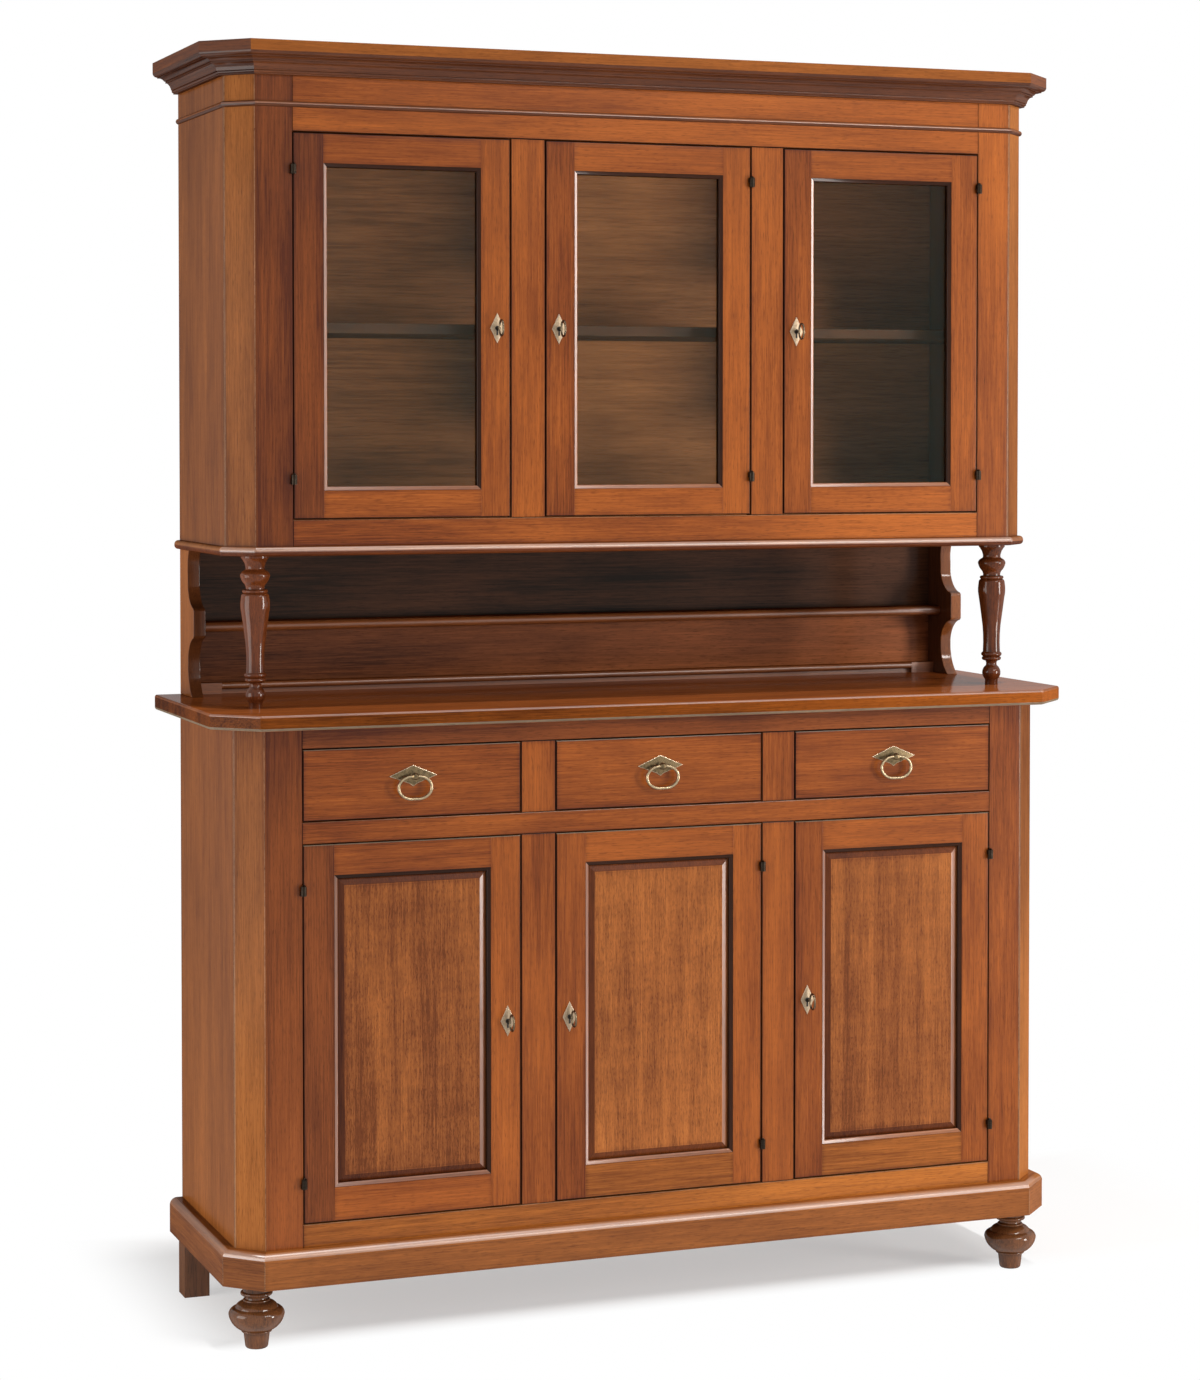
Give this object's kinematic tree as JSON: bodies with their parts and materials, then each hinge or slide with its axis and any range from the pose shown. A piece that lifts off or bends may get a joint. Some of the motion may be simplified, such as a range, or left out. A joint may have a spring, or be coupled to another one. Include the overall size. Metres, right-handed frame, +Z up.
{
  "type": "dresser with hutch",
  "caption": "Wooden dresser with chamfered corners: doors and drawers below, an open plate rack on turned columns, and a glazed cabinet above.",
  "frame": {"origin": "on the floor under the middle of the tabletop", "axes": "+Z up, the front faces -Y, +X to the right seen from the front"},
  "size_m": [1.603, 0.475, 2.2],
  "materials": {
    "carcass_wood": "stained, lacquered",
    "panel_wood": "figured veneer",
    "top_wood": "polished",
    "back_wood": "dark stained",
    "brass": "antique",
    "bronze": "dark bronze",
    "steel": "plain",
    "glass": "clear"
  },
  "bodies": {
    "cabinet": {"base_back_panel": "back_wood", "base_corner_posts": "carcass_wood", "base_face_frame": "carcass_wood", "base_inner_boards": "carcass_wood", "base_sides": "carcass_wood", "base_top": "top_wood", "columns": "carcass_wood", "cornice": "carcass_wood", "drawer_runners": "carcass_wood", "feet": "carcass_wood", "hinge_frame_halves": "bronze", "hutch_back_panels": "back_wood", "hutch_ceiling_board": "carcass_wood", "hutch_corner_posts": "carcass_wood", "hutch_face_frame": "carcass_wood", "hutch_floor": "carcass_wood", "hutch_sides": "carcass_wood", "inner_shelves": "carcass_wood", "plate_shelf": "carcass_wood", "plinth": "carcass_wood", "rack_brackets": "carcass_wood"},
    "base_left_door": {"base_left_door_frame": "carcass_wood", "base_left_door_panel": "panel_wood", "base_left_door_fittings": "brass"},
    "base_left_door_key": {"base_left_door_key": "brass"},
    "base_left_door_bolt": {"base_left_door_bolt": "steel"},
    "base_middle_door": {"base_middle_door_frame": "carcass_wood", "base_middle_door_panel": "panel_wood", "base_middle_door_fittings": "brass"},
    "base_middle_door_key": {"base_middle_door_key": "brass"},
    "base_middle_door_bolt": {"base_middle_door_bolt": "steel"},
    "base_right_door": {"base_right_door_frame": "carcass_wood", "base_right_door_panel": "panel_wood", "base_right_door_fittings": "brass"},
    "base_right_door_key": {"base_right_door_key": "brass"},
    "base_right_door_bolt": {"base_right_door_bolt": "steel"},
    "hutch_left_door": {"hutch_left_door_frame": "carcass_wood", "hutch_left_door_glass": "glass", "hutch_left_door_fittings": "brass"},
    "hutch_left_door_key": {"hutch_left_door_key": "brass"},
    "hutch_left_door_bolt": {"hutch_left_door_bolt": "steel"},
    "hutch_middle_door": {"hutch_middle_door_frame": "carcass_wood", "hutch_middle_door_glass": "glass", "hutch_middle_door_fittings": "brass"},
    "hutch_middle_door_key": {"hutch_middle_door_key": "brass"},
    "hutch_middle_door_bolt": {"hutch_middle_door_bolt": "steel"},
    "hutch_right_door": {"hutch_right_door_frame": "carcass_wood", "hutch_right_door_glass": "glass", "hutch_right_door_fittings": "brass"},
    "hutch_right_door_key": {"hutch_right_door_key": "brass"},
    "hutch_right_door_bolt": {"hutch_right_door_bolt": "steel"},
    "left_drawer": {"left_drawer": "carcass_wood", "left_drawer_pull_plate": "brass"},
    "left_drawer_pull_ring": {"left_drawer_pull_ring": "brass"},
    "middle_drawer": {"middle_drawer": "carcass_wood", "middle_drawer_pull_plate": "brass"},
    "middle_drawer_pull_ring": {"middle_drawer_pull_ring": "brass"},
    "right_drawer": {"right_drawer": "carcass_wood", "right_drawer_pull_plate": "brass"},
    "right_drawer_pull_ring": {"right_drawer_pull_ring": "brass"}
  },
  "joints": [
    {"name": "base_left_door_hinge", "type": "hinge", "parent": "cabinet", "child": "base_left_door", "pos_m": [-0.64675, -0.1918, 0.5325], "axis": [0, 0, -1], "range_deg": [0, 170]},
    {"name": "base_left_door_key_turn", "type": "hinge", "parent": "base_left_door", "child": "base_left_door_key", "pos_m": [-0.283, -0.1865, 0.5325], "axis": [0, -1, 0], "range_deg": [0, 180]},
    {"name": "base_left_door_bolt_throw", "type": "slide", "parent": "base_left_door", "child": "base_left_door_bolt", "axis": [1, 0, 0], "range_m": [0, 0.008]},
    {"name": "base_middle_door_hinge", "type": "hinge", "parent": "cabinet", "child": "base_middle_door", "pos_m": [0.19425, -0.1918, 0.5325], "axis": [0, 0, 1], "range_deg": [0, 100]},
    {"name": "base_middle_door_key_turn", "type": "hinge", "parent": "base_middle_door", "child": "base_middle_door_key", "pos_m": [-0.1695, -0.1865, 0.5325], "axis": [0, 1, 0], "range_deg": [0, 180]},
    {"name": "base_middle_door_bolt_throw", "type": "slide", "parent": "base_middle_door", "child": "base_middle_door_bolt", "axis": [-1, 0, 0], "range_m": [0, 0.008]},
    {"name": "base_right_door_hinge", "type": "hinge", "parent": "cabinet", "child": "base_right_door", "pos_m": [0.64675, -0.1918, 0.5325], "axis": [0, 0, 1], "range_deg": [0, 170]},
    {"name": "base_right_door_key_turn", "type": "hinge", "parent": "base_right_door", "child": "base_right_door_key", "pos_m": [0.283, -0.1865, 0.5325], "axis": [0, 1, 0], "range_deg": [0, 180]},
    {"name": "base_right_door_bolt_throw", "type": "slide", "parent": "base_right_door", "child": "base_right_door_bolt", "axis": [-1, 0, 0], "range_m": [0, 0.008]},
    {"name": "hutch_left_door_hinge", "type": "hinge", "parent": "cabinet", "child": "hutch_left_door", "pos_m": [-0.64675, -0.1398, 1.7255], "axis": [0, 0, -1], "range_deg": [0, 170]},
    {"name": "hutch_left_door_key_turn", "type": "hinge", "parent": "hutch_left_door", "child": "hutch_left_door_key", "pos_m": [-0.283, -0.1345, 1.7255], "axis": [0, -1, 0], "range_deg": [0, 180]},
    {"name": "hutch_left_door_bolt_throw", "type": "slide", "parent": "hutch_left_door", "child": "hutch_left_door_bolt", "axis": [1, 0, 0], "range_m": [0, 0.008]},
    {"name": "hutch_middle_door_hinge", "type": "hinge", "parent": "cabinet", "child": "hutch_middle_door", "pos_m": [0.19425, -0.1398, 1.7255], "axis": [0, 0, 1], "range_deg": [0, 100]},
    {"name": "hutch_middle_door_key_turn", "type": "hinge", "parent": "hutch_middle_door", "child": "hutch_middle_door_key", "pos_m": [-0.1695, -0.1345, 1.7255], "axis": [0, 1, 0], "range_deg": [0, 180]},
    {"name": "hutch_middle_door_bolt_throw", "type": "slide", "parent": "hutch_middle_door", "child": "hutch_middle_door_bolt", "axis": [-1, 0, 0], "range_m": [0, 0.008]},
    {"name": "hutch_right_door_hinge", "type": "hinge", "parent": "cabinet", "child": "hutch_right_door", "pos_m": [0.64675, -0.1398, 1.7255], "axis": [0, 0, 1], "range_deg": [0, 170]},
    {"name": "hutch_right_door_key_turn", "type": "hinge", "parent": "hutch_right_door", "child": "hutch_right_door_key", "pos_m": [0.283, -0.1345, 1.7255], "axis": [0, 1, 0], "range_deg": [0, 180]},
    {"name": "hutch_right_door_bolt_throw", "type": "slide", "parent": "hutch_right_door", "child": "hutch_right_door_bolt", "axis": [-1, 0, 0], "range_m": [0, 0.008]},
    {"name": "left_drawer_slide", "type": "slide", "parent": "cabinet", "child": "left_drawer", "axis": [0, -1, 0], "range_m": [0, 0.3]},
    {"name": "left_drawer_ring_swing", "type": "hinge", "parent": "left_drawer", "child": "left_drawer_pull_ring", "pos_m": [-0.4525, -0.199, 0.96275], "axis": [-1, 0, 0], "range_deg": [0, 90]},
    {"name": "middle_drawer_slide", "type": "slide", "parent": "cabinet", "child": "middle_drawer", "axis": [0, -1, 0], "range_m": [0, 0.3]},
    {"name": "middle_drawer_ring_swing", "type": "hinge", "parent": "middle_drawer", "child": "middle_drawer_pull_ring", "pos_m": [0, -0.199, 0.96275], "axis": [-1, 0, 0], "range_deg": [0, 90]},
    {"name": "right_drawer_slide", "type": "slide", "parent": "cabinet", "child": "right_drawer", "axis": [0, -1, 0], "range_m": [0, 0.3]},
    {"name": "right_drawer_ring_swing", "type": "hinge", "parent": "right_drawer", "child": "right_drawer_pull_ring", "pos_m": [0.4525, -0.199, 0.96275], "axis": [-1, 0, 0], "range_deg": [0, 90]}
  ],
  "couplings": [
    {"joint": "base_left_door_bolt_throw", "follows": "base_left_door_key_turn", "m_per_rad": 0.0025439},
    {"joint": "base_middle_door_bolt_throw", "follows": "base_middle_door_key_turn", "m_per_rad": 0.0025439},
    {"joint": "base_right_door_bolt_throw", "follows": "base_right_door_key_turn", "m_per_rad": 0.0025439},
    {"joint": "hutch_left_door_bolt_throw", "follows": "hutch_left_door_key_turn", "m_per_rad": 0.0025439},
    {"joint": "hutch_middle_door_bolt_throw", "follows": "hutch_middle_door_key_turn", "m_per_rad": 0.0025439},
    {"joint": "hutch_right_door_bolt_throw", "follows": "hutch_right_door_key_turn", "m_per_rad": 0.0025439}
  ]
}
